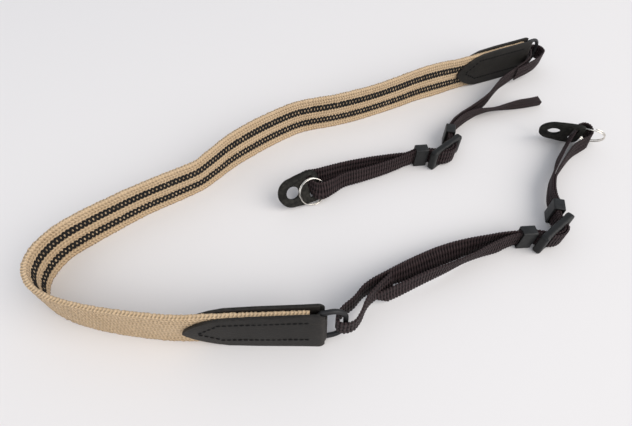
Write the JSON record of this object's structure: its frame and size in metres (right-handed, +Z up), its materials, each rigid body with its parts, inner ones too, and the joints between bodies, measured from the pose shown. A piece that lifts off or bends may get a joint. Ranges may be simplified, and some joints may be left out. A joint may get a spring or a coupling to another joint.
{
  "type": "camera shoulder strap",
  "caption": "Striped woven cotton camera strap on its edge, with stitched leather end tabs, D-rings and thin nylon webbing through buckles, keepers, leather lug patches and split rings.",
  "frame": {"origin": "on the floor under the middle of the strap's outer box", "axes": "+Z up from the floor, +X to the right in the picture, +Y away from the camera"},
  "size_m": [0.3356, 0.2404, 0.0265],
  "materials": {
    "cotton_webbing": "matte woven cotton with two dark stripes on its inner face",
    "leather": "satin grained",
    "patch_leather": "matte, lighter worn edge",
    "nylon_webbing": "ribbed weave, slightly shiny",
    "plastic": "satin moulded",
    "ring_enamel": "dark satin",
    "nickel": "polished nickel plate"
  },
  "bodies": {
    "root": {"shoulder_webbing": "cotton_webbing", "front_leather_tab": "leather", "front_d_ring": "ring_enamel", "front_nylon_webbing": "nylon_webbing", "front_buckle": "plastic", "front_ring_keeper": "plastic", "front_lug_keeper": "plastic", "front_leather_patch": "patch_leather", "front_split_ring": "nickel", "back_leather_tab": "leather", "back_d_ring": "ring_enamel", "back_nylon_webbing": "nylon_webbing", "back_buckle": "plastic", "back_ring_keeper": "plastic", "back_lug_keeper": "plastic", "back_leather_patch": "patch_leather", "back_split_ring": "nickel"}
  },
  "joints": []
}
